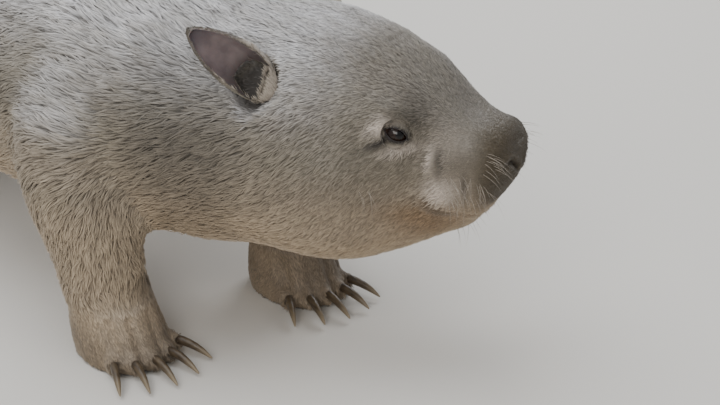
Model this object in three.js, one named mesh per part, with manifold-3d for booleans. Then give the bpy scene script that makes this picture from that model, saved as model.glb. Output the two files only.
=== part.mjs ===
// A southern hairy-nosed wombat, life size, standing square on four feet with its head turned to its left.
// Millimetres, +Z up. The nose points along -Y before the head turns, and the animal's left is +X.
// Every outline is the outline of the coat, so the fur lies inside these solids.
import * as THREE from "three";
import { mergeVertices } from "three/addons/utils/BufferGeometryUtils.js";
import Module from "manifold-3d";

const wasm = await Module();
wasm.setup();

// Driving dimensions
const gap = 0.3; // between neighbouring nodes
const headTurn = THREE.MathUtils.degToRad(30);
const turnFrom = 560; // the spine starts to bend here, measured forward from the rump
const turnTo = 720;
const torsoEnd = 606; // thin cuts across the spine
const neckEnd = 672;
const snoutStart = 884;
const noseFloor = 185; // the nose ends above the upper lip
const trunkSides = 38;
const noseTip = 906;
const ankleHeight = 68;
const wristHeight = 60;
const eyeRadius = 10.5;
const lidThickness = 2.4;
const earLength = 70;
const clawLength = { fore: 37, hind: 26 };

// The trunk from rump to nose: distance forward, half width, top, widest level, underside, and how boxy
// the upper and lower halves of the section are (2 is an ellipse).
const trunk = [
  [0, 8, 238, 226, 212, 2.0, 2.0],
  [7, 50, 280, 224, 170, 2.0, 2.0],
  [22, 88, 311, 218, 140, 2.1, 2.0],
  [52, 120, 336, 210, 114, 2.15, 2.1],
  [100, 141, 352, 202, 96, 2.2, 2.15],
  [170, 150, 359, 196, 84, 2.2, 2.2],
  [260, 151, 359, 191, 76, 2.2, 2.2],
  [360, 152, 354, 188, 72, 2.2, 2.2],
  [450, 148, 346, 190, 76, 2.2, 2.15],
  [530, 141, 338, 196, 86, 2.2, 2.1],
  [600, 127, 329, 203, 97, 2.2, 2.1],
  [655, 111, 320, 208, 103, 2.3, 2.1],
  [705, 102, 315, 210, 105, 2.4, 2.1],
  [745, 97, 312, 211, 105, 2.4, 2.2],
  [782, 88, 306, 212, 110, 2.4, 2.3],
  [810, 75, 294, 214, 120, 2.4, 2.3],
  [838, 59, 273, 215, 136, 2.5, 2.3],
  [860, 49, 253, 215, 149, 2.5, 2.3],
  [872, 44, 245, 215, 157, 2.5, 2.3],
  [882, 41, 241.5, 215, 169, 2.5, 2.3],
  [891, 37, 240, 216, 180, 2.4, 2.2],
  [898, 31, 237, 217, 190, 2.3, 2.1],
  [903, 22, 231, 218, 199, 2.1, 2.0],
  [noseTip, 8, 224, 218, 211, 2.0, 2.0],
];

// Muscles, brows, cheeks and hollows: place [forward, sideways, up], reach along each, and height.
// Each is raised (or sunk) on both sides of the body.
const forms = {
  rumpCheek: { at: [52, 84, 270], reach: [45, 38, 50], by: 8 },
  spineFurrow: { at: [150, 0, 370], reach: [120, 16, 20], by: -4 },
  flankHollow: { at: [268, 152, 165], reach: [32, 30, 60], by: -7 },
  ribs: { at: [380, 152, 215], reach: [70, 40, 60], by: 3 },
  elbowHollow: { at: [470, 148, 205], reach: [26, 30, 70], by: -6 },
  shoulderBlade: { at: [545, 104, 305], reach: [46, 32, 36], by: 8 },
  napeRoll: { at: [628, 62, 321], reach: [18, 45, 24], by: 4 },
  throatRoll: { at: [652, 44, 111], reach: [24, 45, 24], by: 6 },
  temple: { at: [738, 60, 308], reach: [30, 22, 20], by: 5 },
  crownDip: { at: [735, 0, 312], reach: [40, 13, 16], by: -3 },
  cheekbone: { at: [782, 86, 205], reach: [26, 22, 19], by: 6 },
  jowl: { at: [770, 74, 140], reach: [34, 28, 22], by: 7 },
  brow: { at: [814, 60, 262], reach: [19, 18, 13], by: 6 },
  orbit: { at: [837, 58, 236], reach: [12, 14, 15], by: -5 },
  whiskerPad: { at: [857, 50, 195], reach: [14, 15, 15], by: 6 },
  cheekCrease: { at: [840, 58, 204], reach: [6, 14, 20], by: -4 },
  padCrease: { at: [872, 45, 203], reach: [5, 12, 14], by: -3 },
  noseBridge: { at: [866, 24, 247], reach: [26, 9, 12], by: 2 },
  noseWing: { at: [893, 34, 219], reach: [9, 9, 12], by: 3.5 },
  noseTop: { at: [894, 0, 240], reach: [9, 24, 10], by: 2.5 },
  upperLip: { at: [880, 26, 178], reach: [12, 16, 8], by: 3 },
  chin: { at: [864, 0, 153], reach: [12, 22, 10], by: 4 },
};

// Places on the head as [distance forward, angle round the section in degrees, 0 left and 90 up].
const eyePlace = [824, 20];
const earPlace = [704, 43];
const mouthLine = [
  [841, -17],
  [854, -26],
  [865, -34],
  [873, -45],
  [878, -60],
  [880, -75],
  [880.5, -90],
];
const mouthGroove = 1.9;

const up = new THREE.Vector3(0, 0, 1);

function interpolate(rows, at, column) {
  // A cubic through the rows whose slopes never overshoot.
  let i = rows.findIndex((row) => row[0] > at) - 1;
  if (i === -2) i = rows.length - 2;
  if (i < 0) i = 0;
  const span = (k) => rows[k + 1][0] - rows[k][0];
  const rise = (k) => (rows[k + 1][column] - rows[k][column]) / span(k);
  const slope = (k) => {
    if (k === 0) return rise(0);
    if (k === rows.length - 1) return rise(k - 1);
    const [a, b] = [rise(k - 1), rise(k)];
    return a * b <= 0 ? 0 : (2 * a * b) / (a + b);
  };
  const h = span(i);
  const t = (at - rows[i][0]) / h;
  const [p, q] = [rows[i][column], rows[i + 1][column]];
  return (
    p * (1 + 2 * t) * (1 - t) ** 2 +
    q * (3 - 2 * t) * t * t +
    slope(i) * h * t * (1 - t) ** 2 -
    slope(i + 1) * h * t * t * (1 - t)
  );
}

// The spine seen from above, one place for each millimetre.
const heading = (s) => headTurn * THREE.MathUtils.smoothstep(s, turnFrom, turnTo);
const spine = [new THREE.Vector3()];
for (let s = 1; s <= noseTip + 1; s += 1) {
  const step = new THREE.Vector3(Math.sin(heading(s - 0.5)), -Math.cos(heading(s - 0.5)), 0);
  spine.push(spine[s - 1].clone().add(step));
}
function spineAt(s) {
  const clamped = THREE.MathUtils.clamp(s, 0, noseTip);
  const i = Math.floor(clamped);
  return spine[i].clone().lerp(spine[i + 1], clamped - i);
}
// Forward, left and up at a distance along the spine.
function axesAt(s) {
  const angle = heading(s);
  return {
    forward: new THREE.Vector3(Math.sin(angle), -Math.cos(angle), 0),
    left: new THREE.Vector3(Math.cos(angle), Math.sin(angle), 0),
    up,
  };
}

const superPower = (value, n) => Math.sign(value) * Math.abs(value) ** (2 / n);

function formHeight(s, x, z) {
  let height = 0;
  for (const { at, reach, by } of Object.values(forms)) {
    const offset = [s - at[0], Math.abs(x) - at[1], z - at[2]];
    const far = offset.reduce((sum, d, k) => sum + (d / reach[k]) ** 2, 0);
    height += by * Math.exp(-far / 1.4);
  }
  return height;
}

// A point of the coat's outline, before any growth: forward distance s and angle round the section.
function outline(s, angle) {
  const row = [1, 2, 3, 4, 5, 6].map((column) => interpolate(trunk, s, column));
  const [half, top, middle, bottom, boxyTop, boxyBottom] = row;
  const n = Math.sin(angle) >= 0 ? boxyTop : boxyBottom;
  const x = half * superPower(Math.cos(angle), n);
  const reach = Math.sin(angle) >= 0 ? top - middle : middle - bottom;
  const z = middle + reach * superPower(Math.sin(angle), n);
  const raise = formHeight(s, x, z);
  const outward = new THREE.Vector2(x / half, (z - middle) / reach).normalize();
  const { left } = axesAt(s);
  return spineAt(s)
    .addScaledVector(left, x + raise * outward.x)
    .addScaledVector(up, z + raise * outward.y);
}

function outlineNormal(s, angle) {
  const [ds, da] = [1.5, 0.02];
  const clamped = THREE.MathUtils.clamp(s, ds, noseTip - ds);
  const along = outline(clamped + ds, angle).sub(outline(clamped - ds, angle));
  const around = outline(clamped, angle + da).sub(outline(clamped, angle - da));
  return along.cross(around).normalize().negate();
}

// Solids and meshes

function closedLoft(rings) {
  // Rings of equal count, each closed on itself, joined in order, with a flat cap at both ends.
  const count = rings[0].length;
  const points = rings.flat();
  const faces = [];
  rings.slice(1).forEach((_, row) => {
    for (let k = 0; k < count; k += 1) {
      const [a, b] = [row * count + k, row * count + ((k + 1) % count)];
      faces.push(a, b, a + count, b, b + count, a + count);
    }
  });
  const middle = (ring) =>
    ring.reduce((sum, p) => sum.add(p), new THREE.Vector3()).divideScalar(ring.length);
  const last = (rings.length - 1) * count;
  points.push(middle(rings[0]), middle(rings[rings.length - 1]));
  for (let k = 0; k < count; k += 1) {
    const next = (k + 1) % count;
    faces.push(points.length - 2, next, k, points.length - 1, last + k, last + next);
  }
  const geometry = new THREE.BufferGeometry().setFromPoints(points);
  geometry.setIndex(faces);
  return geometry;
}

function solid(geometry) {
  const bare = geometry.clone();
  bare.deleteAttribute("normal");
  bare.deleteAttribute("uv");
  const merged = mergeVertices(bare, 1e-3);
  const triVerts = new Uint32Array(merged.index.array);
  const position = merged.attributes.position;
  const corner = (i) => new THREE.Vector3().fromBufferAttribute(position, triVerts[i]);
  let volume = 0;
  for (let i = 0; i < triVerts.length; i += 3) {
    volume += corner(i).dot(corner(i + 1).cross(corner(i + 2)));
  }
  if (volume < 0) {
    for (let i = 0; i < triVerts.length; i += 3) {
      [triVerts[i + 1], triVerts[i + 2]] = [triVerts[i + 2], triVerts[i + 1]];
    }
  }
  const vertProperties = new Float32Array(position.array);
  return new wasm.Manifold(new wasm.Mesh({ numProp: 3, vertProperties, triVerts }));
}

const whole = new THREE.Group();
whole.name = "wombat";
const materials = {
  fur: new THREE.MeshStandardMaterial({ color: 0x7d746b, roughness: 0.85 }),
  nose: new THREE.MeshStandardMaterial({ color: 0x453d35, roughness: 0.7 }),
  ear: new THREE.MeshStandardMaterial({ color: 0x6a6064, roughness: 0.75 }),
  eye: new THREE.MeshStandardMaterial({ color: 0x120c09, roughness: 0.08 }),
  claw: new THREE.MeshStandardMaterial({ color: 0x51463b, roughness: 0.45 }),
};

function addNode(name, made, material) {
  // Only the largest closed surface is kept.
  const pieces = made.decompose().sort((a, b) => b.volume() - a.volume());
  const mesh = pieces[0].getMesh();
  const geometry = new THREE.BufferGeometry();
  geometry.setAttribute("position", new THREE.BufferAttribute(mesh.vertProperties, 3));
  geometry.setIndex(new THREE.BufferAttribute(mesh.triVerts, 1));
  geometry.computeVertexNormals();
  const node = new THREE.Mesh(geometry, material);
  node.name = name;
  whole.add(node);
}

// The trunk: torso, neck, head and snout are one surface, parted by thin cuts

function evenSteps(from, to, spacing) {
  const count = Math.max(1, Math.round((to - from) / spacing));
  return Array.from({ length: count + 1 }, (_, i) => from + ((to - from) * i) / count);
}

function trunkPart(stations, grow = 0) {
  const rings = stations.map((s) =>
    Array.from({ length: trunkSides }, (_, k) => {
      const angle = (2 * Math.PI * k) / trunkSides;
      return outline(s, angle).addScaledVector(outlineNormal(s, angle), grow);
    }),
  );
  return solid(closedLoft(rings));
}

const torsoStations = [0, 3, 8, 15, 25, 38, ...evenSteps(54, torsoEnd - gap / 2, 30)];
const neckStations = evenSteps(torsoEnd + gap / 2, neckEnd - gap / 2, 16);
const headStations = [...evenSteps(neckEnd + gap / 2, 888, 9.5), 893, 897.5, 901, 903.7, 905.3, noseTip];
const torso = trunkPart(torsoStations);
const neck = trunkPart(neckStations);
const headAndNose = trunkPart(headStations);
// What legs, ears and tail are cut back from, so that they meet the trunk with a gap.
const trunkRoom = trunkPart([...torsoStations, ...neckStations, ...headStations], gap);

const radians = THREE.MathUtils.degToRad;
const mirrored = (side, degrees) => radians(side > 0 ? degrees : 180 - degrees);
const sideName = (side) => (side > 0 ? "left" : "right");

// Eyes: a ball in a socket, under a lidded bulge with an almond opening

function eyeFrame(side) {
  const [s, angle] = [eyePlace[0], mirrored(side, eyePlace[1])];
  const out = outlineNormal(s, angle);
  const { forward } = axesAt(s);
  const sink = eyeRadius - 1.4; // how far the ball's middle lies under the outline
  const centre = outline(s, angle).addScaledVector(out, -sink);
  const ahead = forward.clone().addScaledVector(out, -forward.dot(out)).normalize();
  return { centre, out, ahead, above: out.clone().cross(ahead).multiplyScalar(side) };
}

function ball(centre, radius, columns, rows) {
  const geometry = new THREE.SphereGeometry(radius, columns, rows);
  return geometry.translate(centre.x, centre.y, centre.z);
}

function lidOpening({ centre, out, ahead, above }) {
  const [halfWide, halfHigh, slant] = [9.4, 5.4, radians(18)];
  const almond = new THREE.Shape();
  almond.moveTo(-halfWide, 0);
  almond.quadraticCurveTo(0, 2 * halfHigh, halfWide, -1);
  almond.quadraticCurveTo(0, -2 * halfHigh, -halfWide, 0);
  const geometry = new THREE.ExtrudeGeometry(almond, {
    depth: 30,
    curveSegments: 6,
    bevelEnabled: false,
  });
  geometry.rotateZ(slant);
  const frame = new THREE.Matrix4().makeBasis(ahead, above, ahead.clone().cross(above));
  const facing = Math.sign(ahead.clone().cross(above).dot(out));
  geometry.translate(0, 0, facing > 0 ? 0 : -30);
  return geometry.applyMatrix4(frame.setPosition(centre));
}

// Mouth and nostrils, cut as grooves and pockets

function mouthTube() {
  const half = mouthLine.map(([s, degrees]) => outline(s, radians(degrees)));
  const other = mouthLine.slice(0, -1).map(([s, degrees]) => outline(s, mirrored(-1, degrees)));
  const path = new THREE.CatmullRomCurve3([...half, ...other.reverse()]);
  const section = new THREE.Shape().absarc(0, 0, mouthGroove, 0, 2 * Math.PI);
  return new THREE.ExtrudeGeometry(section, { steps: 30, extrudePath: path, curveSegments: 2 });
}

function nostril(side) {
  // A comma: a round pocket inside, and a slit that sweeps out and up from it.
  const { forward, left } = axesAt(noseTip);
  const place = ([along, aside, height]) =>
    spineAt(noseTip)
      .addScaledVector(forward, along)
      .addScaledVector(left, side * aside)
      .addScaledVector(up, height);
  const path = new THREE.CatmullRomCurve3(
    [[-3, 9, 209], [-2.5, 14, 214], [-5, 21, 218], [-9, 28, 217]].map(place),
  );
  const section = new THREE.Shape().absarc(0, 0, 3.4, 0, 2 * Math.PI);
  return new THREE.ExtrudeGeometry(section, { steps: 6, extrudePath: path, curveSegments: 3 });
}

// The nose is the front of the snout above the lip. The head is the rest.
function noseCuts() {
  const { forward } = axesAt(noseTip);
  const start = spineAt(snoutStart).dot(forward);
  const trim = (made, direction, distance) => made.trimByPlane(direction.toArray(), distance);
  const ahead = trim(headAndNose, forward, start + gap / 2);
  const behind = trim(headAndNose, forward.clone().negate(), -(start - gap / 2));
  const below = trim(headAndNose, up.clone().negate(), -(noseFloor - gap / 2));
  return { nose: trim(ahead, up, noseFloor + gap / 2), head: behind.add(below) };
}

const parted = noseCuts();
const groove = solid(mouthTube());
let head = parted.head;
for (const side of [1, -1]) {
  const frame = eyeFrame(side);
  head = head
    .add(solid(ball(frame.centre, eyeRadius + lidThickness, 18, 12)))
    .subtract(solid(lidOpening(frame)))
    .subtract(solid(ball(frame.centre, eyeRadius + gap, 16, 10)));
}
head = head.subtract(groove);
const nose = parted.nose.subtract(solid(nostril(1))).subtract(solid(nostril(-1)));

addNode("torso", torso, materials.fur);
addNode("neck", neck, materials.fur);
addNode("head", head, materials.fur);
addNode("nose", nose, materials.nose);
for (const side of [1, -1]) {
  const eyeball = solid(ball(eyeFrame(side).centre, eyeRadius, 16, 10));
  addNode(`eye_${sideName(side)}`, eyeball, materials.eye);
}

// Ears: a tapering cone of flattened rings, scooped out on the side that listens

// Share of the length, half width, half depth, and how far the tip curls back.
const earRings = [
  [0, 15, 14, 0],
  [0.12, 18, 15, 0],
  [0.28, 20, 13.5, 0],
  [0.45, 19, 10.5, 1],
  [0.62, 16.8, 8, 3],
  [0.78, 12.8, 5.6, 5.5],
  [0.9, 8.2, 3.8, 8],
  [0.97, 4.6, 2.6, 9.5],
  [1, 1.4, 1.2, 10],
];
const earWall = 3.2;
const earSides = 14;

function ear(side) {
  const [s, angle] = [earPlace[0], mirrored(side, earPlace[1])];
  const { forward, left } = axesAt(s);
  const outwards = left.clone().multiplyScalar(side);
  const mix = (f, o, u) =>
    new THREE.Vector3()
      .addScaledVector(forward, f)
      .addScaledVector(outwards, o)
      .addScaledVector(up, u)
      .normalize();
  const along = mix(-0.5, 0.58, 0.64);
  const facing = mix(0.62, 0.76, 0.1);
  facing.addScaledVector(along, -facing.dot(along)).normalize();
  const across = along.clone().cross(facing);
  const root = outline(s, angle).addScaledVector(along, -11);
  const ringAt = ([share, wide, deep, curl], shrink, forwardShift) =>
    Array.from({ length: earSides }, (_, k) => {
      const turn = (2 * Math.PI * k) / earSides;
      return root
        .clone()
        .addScaledVector(along, share * earLength)
        .addScaledVector(across, Math.cos(turn) * Math.max(wide - shrink, 0.4))
        .addScaledVector(facing, Math.sin(turn) * deep - curl + forwardShift * deep);
    });
  const outside = solid(closedLoft(earRings.map((row) => ringAt(row, 0, 0))));
  const scooped = [0.1, 0.2, 0.3, 0.42, 0.56, 0.7, 0.82, 0.9, 0.95].map((share) =>
    ringAt([share, ...[1, 2, 3].map((column) => interpolate(earRings, share, column))], earWall, 0.62),
  );
  return outside.subtract(solid(closedLoft(scooped)));
}

for (const side of [1, -1]) {
  const made = ear(side).subtract(trunkRoom);
  addNode(`ear_${sideName(side)}`, made, materials.ear);
}

// Tail: a short stub under the fur of the rump

function tail() {
  const profile = [[0, -26], [12, -26], [12, 0], [10, 10], [6, 18], [0, 21]];
  const geometry = new THREE.LatheGeometry(profile.map((p) => new THREE.Vector2(...p)), 12);
  const place = outline(9, radians(70));
  // The lathe's axis is turned to point backwards and down.
  return geometry.rotateX(radians(-28)).translate(0, place.y + 1, 222);
}
addNode("tail", solid(tail()).subtract(trunkRoom), materials.fur);

// Legs: level sections from shoulder or hip to the sole. Height, distance forward, distance from the
// middle line, half width and half length.
const foreleg = [
  [300, 572, 58, 20, 28],
  [262, 574, 88, 37, 54],
  [212, 577, 107, 47, 66],
  [172, 581, 110, 50, 67],
  [134, 586, 107, 48, 61],
  [98, 591, 103, 43, 51],
  [wristHeight, 597, 99, 39, 43],
  [44, 604, 97, 38, 44],
  [28, 609, 96, 40, 49],
  [14, 612, 95, 41, 51],
  [5, 613, 95, 40, 50],
  [-3, 613, 95, 36, 46],
];
const hindleg = [
  [326, 166, 64, 26, 36],
  [290, 167, 94, 45, 70],
  [248, 166, 109, 54, 88],
  [206, 162, 114, 60, 97],
  [164, 157, 114, 60, 96],
  [126, 149, 111, 54, 80],
  [94, 138, 106, 45, 58],
  [ankleHeight, 130, 102, 39, 46],
  [48, 138, 99, 36, 50],
  [30, 151, 99, 37, 61],
  [14, 158, 99, 38, 67],
  [5, 159, 99, 37, 66],
  [-3, 159, 99, 33, 61],
];

function limb(rows, from, to, side, sides = 20) {
  // The rows' sections between two heights. Heights fall from the first row to the last.
  const falling = rows.map((row) => [-row[0], ...row.slice(1)]);
  const levels = [from, ...rows.map((row) => row[0]).filter((z) => z < from && z > to), to];
  const rings = levels.map((z) => {
    const [forward, aside, halfWide, halfLong] = [1, 2, 3, 4].map((c) => interpolate(falling, -z, c));
    return Array.from({ length: sides }, (_, k) => {
      const angle = (2 * Math.PI * k) / sides;
      const x = side * aside + halfWide * superPower(Math.cos(angle), 2.2);
      const y = -forward + halfLong * superPower(Math.sin(angle), 2.2);
      return new THREE.Vector3(x, y, z);
    });
  });
  return solid(closedLoft(rings));
}

// Toes and claws. Each toe carries a claw in a socket, and points half as far aside as it stands.
const feet = {
  fore: {
    rows: foreleg,
    split: wristHeight,
    fan: [-26, -13, -1, 11, 23],
    toe: { half: 9.5, long: 20, high: 13, height: 12 },
    reach: 38,
    middle: [616, 95],
    claw: { wide: 4.4, high: 5.2 },
  },
  hind: {
    rows: hindleg,
    split: ankleHeight,
    fan: [-15, -4, 7, 18],
    toe: { half: 9, long: 19, high: 12, height: 11 },
    reach: 46,
    middle: [178, 99],
    claw: { wide: 3.8, high: 4.4 },
  },
};

function claw(root, ahead, length, { wide, high }, grow) {
  // Bends downwards along its length, from a root sunk in the toe to a blunt tip.
  const [stations, sides] = [5, 6];
  const across = new THREE.Vector3().crossVectors(ahead, up).normalize();
  const rings = [];
  const place = root.clone().addScaledVector(ahead, -grow);
  for (let i = 0; i <= stations; i += 1) {
    const t = i / stations;
    const bend = radians(4 + 34 * t);
    const along = ahead.clone().multiplyScalar(Math.cos(bend)).addScaledVector(up, -Math.sin(bend));
    const rise = new THREE.Vector3().crossVectors(across, along);
    const taper = 1 - 0.2 * t - 0.62 * t ** 3;
    rings.push(
      Array.from({ length: sides }, (_, k) => {
        const turn = (2 * Math.PI * (k + 0.5)) / sides;
        return place
          .clone()
          .addScaledVector(across, Math.cos(turn) * (wide * taper + grow))
          .addScaledVector(rise, Math.sin(turn) * (high * taper + grow));
      }),
    );
    place.addScaledVector(along, (length + (i === stations - 1 ? grow : 0)) / stations);
  }
  return solid(closedLoft(rings));
}

function addFoot(kind, side) {
  const { rows, split, fan, toe, reach, middle, claw: size } = feet[kind];
  const upper = limb(rows, rows[0][0], split + gap / 2, side).subtract(trunkRoom);
  addNode(`${kind}leg_${sideName(side)}`, upper, materials.fur);
  let foot = limb(rows, split - gap / 2, -3, side);
  const claws = [];
  fan.forEach((degrees, number) => {
    const angle = radians(degrees);
    const ahead = new THREE.Vector3(side * Math.sin(angle), -Math.cos(angle), 0);
    const spread = new THREE.Vector3(side * Math.sin(2 * angle), -Math.cos(2 * angle), 0);
    const centre = new THREE.Vector3(side * middle[1], -middle[0], toe.height);
    centre.addScaledVector(spread, reach);
    const shape = new THREE.SphereGeometry(1, 10, 6);
    shape.scale(toe.half, toe.long, toe.high).rotateZ(side * angle);
    foot = foot.add(solid(shape.translate(centre.x, centre.y, centre.z)));
    const root = centre.clone().addScaledVector(ahead, toe.long - 9);
    root.z += 3;
    claws.push([number, root, ahead]);
  });
  for (const [number, root, ahead] of claws) {
    const length = clawLength[kind];
    foot = foot.subtract(claw(root, ahead, length, size, gap));
    const name = `claw_${kind}_${sideName(side)}_${number + 1}`;
    addNode(name, claw(root, ahead, length, size, 0), materials.claw);
  }
  addNode(`${kind}foot_${sideName(side)}`, foot.trimByPlane([0, 0, 1], 0), materials.fur);
}

for (const kind of ["fore", "hind"]) {
  for (const side of [1, -1]) addFoot(kind, side);
}

// The origin is under the middle of the whole animal, on the floor.
const reach = new THREE.Box3().setFromObject(whole);
const middleOf = reach.getCenter(new THREE.Vector3());
whole.position.set(-middleOf.x, -middleOf.y, 0);

export default whole;
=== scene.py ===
import math

import bmesh
import bpy
import numpy as np
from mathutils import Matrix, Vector
from mathutils.bvhtree import BVHTree
from mathutils.kdtree import KDTree


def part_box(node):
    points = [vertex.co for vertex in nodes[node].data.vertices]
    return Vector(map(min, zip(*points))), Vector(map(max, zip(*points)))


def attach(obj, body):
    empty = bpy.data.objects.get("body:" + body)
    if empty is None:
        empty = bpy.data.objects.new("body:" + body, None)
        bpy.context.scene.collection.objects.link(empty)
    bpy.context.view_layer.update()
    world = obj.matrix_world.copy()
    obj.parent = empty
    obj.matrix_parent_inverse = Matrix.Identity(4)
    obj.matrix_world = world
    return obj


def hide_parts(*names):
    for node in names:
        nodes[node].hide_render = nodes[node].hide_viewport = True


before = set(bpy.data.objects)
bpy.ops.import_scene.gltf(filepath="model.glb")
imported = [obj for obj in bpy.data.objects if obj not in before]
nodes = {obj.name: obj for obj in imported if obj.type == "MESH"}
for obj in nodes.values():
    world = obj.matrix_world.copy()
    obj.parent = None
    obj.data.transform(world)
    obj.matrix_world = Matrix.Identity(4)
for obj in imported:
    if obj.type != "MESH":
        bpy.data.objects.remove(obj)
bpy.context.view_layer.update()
mm = 0.001
sides = {"left": 1, "right": -1}
print("frame loaded:", len(nodes), "nodes")


# Small helpers

def linear(red, green, blue):  # from 0-255 picture values to the shader's own scale
    def one(v):
        v /= 255
        return v / 12.92 if v <= 0.04045 else ((v + 0.055) / 1.055) ** 2.4
    return (one(red), one(green), one(blue), 1.0)


def ramp(values, low, high):  # 0 below low, 1 above high, smooth between; runs backwards if high < low
    t = np.clip((np.asarray(values, float) - low) / (high - low), 0, 1)
    return t * t * (3 - 2 * t)


def bell(values, width):
    return np.exp(-(values / width) ** 2)


def unit(vectors):
    return vectors / np.maximum(np.linalg.norm(vectors, axis=-1, keepdims=True), 1e-12)


def dots(a, b):
    return (a * b).sum(-1)


def pointsOf(mesh):
    found = np.zeros(len(mesh.vertices) * 3, np.float32)
    mesh.vertices.foreach_get("co", found)
    return found.reshape(-1, 3).astype(float)


def meshFrom(name, points, faces, smooth=True):
    mesh = bpy.data.meshes.new(name)
    mesh.from_pydata(points.tolist() if hasattr(points, "tolist") else points, [], faces)
    mesh.polygons.foreach_set("use_smooth", [smooth] * len(mesh.polygons))
    mesh.update()
    return mesh


def addPiece(name, mesh, material, slot, *replaced):
    piece = bpy.data.objects.new(name, mesh)
    bpy.context.scene.collection.objects.link(piece)
    piece.data.materials.clear()
    piece.data.materials.append(material)
    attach(piece, "root")
    if replaced:
        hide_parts(*replaced)


def setFloats(mesh, name, values):
    layer = mesh.attributes.new(name, "FLOAT", "POINT")
    layer.data.foreach_set("value", np.ascontiguousarray(values, np.float32))


def setColours(mesh, name, values):  # three masks packed in one layer
    layer = mesh.attributes.new(name, "FLOAT_COLOR", "POINT")
    rgba = np.ones((len(values), 4), np.float32)
    rgba[:, :3] = values
    layer.data.foreach_set("color", rgba.ravel())


def evaluated(obj):  # the object's mesh with its modifiers applied
    bpy.context.view_layer.update()
    mesh = bpy.data.meshes.new_from_object(obj.evaluated_get(bpy.context.evaluated_depsgraph_get()))
    bpy.data.objects.remove(obj)
    return mesh


def merged(names):  # one throwaway object from copies of several nodes
    points, faces = [], []
    for name in names:
        mesh = nodes[name].data
        start = len(points)
        points += [tuple(v.co) for v in mesh.vertices]
        faces += [[start + i for i in face.vertices] for face in mesh.polygons]
    obj = bpy.data.objects.new("merged", meshFrom("merged", points, faces))
    bpy.context.scene.collection.objects.link(obj)
    return obj


def voxelRemeshed(names, size):
    obj = merged(names)
    remesh = obj.modifiers.new("remesh", "REMESH")
    remesh.mode = "VOXEL"
    remesh.voxel_size = size
    return evaluated(obj)


class Surface:  # points, faces and edges as arrays, with the sculptor's few moves
    def __init__(self, mesh):
        self.read(mesh)

    def read(self, mesh):
        self.points = pointsOf(mesh)
        self.faces = [tuple(face.vertices) for face in mesh.polygons]
        pairs = np.zeros(len(mesh.edges) * 2, np.int32)
        mesh.edges.foreach_get("vertices", pairs)
        self.edges = pairs.reshape(-1, 2)
        mesh.calc_loop_triangles()
        corners = np.zeros(len(mesh.loop_triangles) * 3, np.int32)
        mesh.loop_triangles.foreach_get("vertices", corners)
        self.triangles = corners.reshape(-1, 3)
        self.count = np.maximum(np.bincount(self.edges.ravel(), minlength=len(self.points)), 1)

    def spread(self, values):  # each point's neighbours, averaged
        a, b = self.edges.T
        total = len(self.points)
        columns = values.reshape(total, -1)
        found = [np.bincount(a, c[b], total) + np.bincount(b, c[a], total) for c in columns.T]
        return (np.stack(found, 1) / self.count[:, None]).reshape(values.shape)

    def smooth(self, rounds, weight=1.0, back=0.0):
        weight = np.broadcast_to(weight, len(self.points))[:, None]
        for _ in range(rounds):
            for push in (0.5, -back):
                if push:
                    self.points += weight * push * (self.spread(self.points) - self.points)

    def normals(self):
        a, b, c = (self.points[self.triangles[:, k]] for k in range(3))
        across = np.cross(b - a, c - a)
        total = np.zeros_like(self.points)
        for k in range(3):
            for axis in range(3):
                weights = across[:, axis]
                total[:, axis] += np.bincount(self.triangles[:, k], weights, len(self.points))
        return unit(total)

    def areas(self):
        corners = self.points[self.triangles]
        across = np.cross(corners[:, 1] - corners[:, 0], corners[:, 2] - corners[:, 0])
        return np.linalg.norm(across, axis=1) / 2

    def subdivide(self, chosen):  # cuts each edge that has both its ends chosen, once
        bm = bmesh.new()
        bm.from_mesh(meshFrom("cut", self.points, self.faces))
        bm.verts.ensure_lookup_table()
        edges = [e for e in bm.edges if chosen[e.verts[0].index] and chosen[e.verts[1].index]]
        bmesh.ops.subdivide_edges(bm, edges=edges, cuts=1, use_grid_fill=True)
        bmesh.ops.triangulate(bm, faces=[f for f in bm.faces if len(f.verts) > 4])
        mesh = bpy.data.meshes.new("cut")
        bm.to_mesh(mesh)
        bm.free()
        self.read(mesh)


# Guides: the spine seen from above, the head's own axes, and the legs' middle lines

bodyGuide = {
    "length": 0.906,  # rump to nose, along the spine
    "headTurnDeg": 30,
    "turnFrom": 0.560,
    "turnTo": 0.720,
    "middle": 0.205,  # height of the body's middle line
    "stationStep": 0.010,
    "blend": 0.02,  # how far each station's heading is felt
    "roll": 0.11,  # radius over which the coat's streaks are rolled out
}


def layOutSpine():
    step = 0.001
    along = np.arange(0, bodyGuide["length"] + step, step)
    turn = math.radians(bodyGuide["headTurnDeg"])
    turn = turn * ramp(along, bodyGuide["turnFrom"], bodyGuide["turnTo"])
    heading = np.stack([np.sin(turn), -np.cos(turn)], 1)
    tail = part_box("tail")
    start = np.array([(tail[0].x + tail[1].x) / 2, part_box("torso")[1].y])
    place = start + np.vstack([[0, 0], np.cumsum(heading[:-1] * step, axis=0)])
    every = int(bodyGuide["stationStep"] / step)
    return along[::every], place[::every], heading[::every]


stationAt, stationPlace, stationHeading = layOutSpine()
headAhead = np.array([*stationHeading[-1], 0.0])
headLeft = np.array([-headAhead[1], headAhead[0], 0.0])
headStart = stationPlace[-1] - stationHeading[-1] * stationAt[-1]
upward = np.array([0.0, 0.0, 1.0])


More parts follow.
